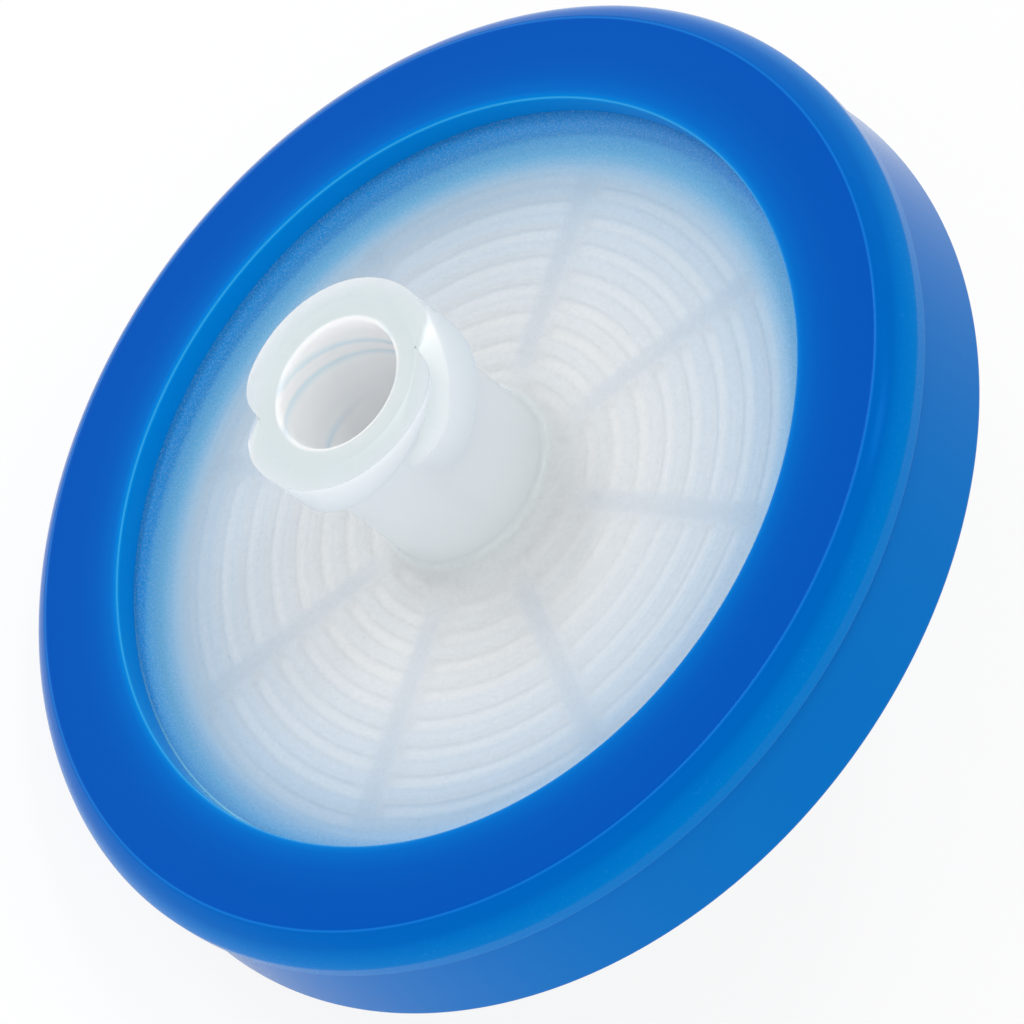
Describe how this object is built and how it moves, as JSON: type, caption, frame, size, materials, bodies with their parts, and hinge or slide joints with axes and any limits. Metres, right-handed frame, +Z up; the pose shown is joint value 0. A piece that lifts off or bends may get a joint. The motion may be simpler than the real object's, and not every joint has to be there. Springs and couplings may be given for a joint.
{
  "type": "syringe filter",
  "caption": "Round disposable membrane filter with a moulded collar, a female luer-lock inlet and a male luer-slip outlet, lying on a bench.",
  "frame": {"origin": "centre of the footprint, on the bench that the filter lies on", "axes": "+Z up; the filter lies on its collar's back rim and its outlet's tip, and its own axis leans from +Z towards -X by 34 degrees, with the inlet up; +Y runs across the collar's full diameter"},
  "size_m": [0.0294, 0.033, 0.0218],
  "materials": {
    "blue_polypropylene": "satin moulded blue polypropylene",
    "natural_polypropylene": "milky natural polypropylene, satin",
    "filter_membrane": "matt white microporous film"
  },
  "bodies": {
    "root": {"collar": "blue_polypropylene", "inlet_housing": "natural_polypropylene", "membrane": "filter_membrane", "outlet_housing": "natural_polypropylene"}
  },
  "joints": []
}
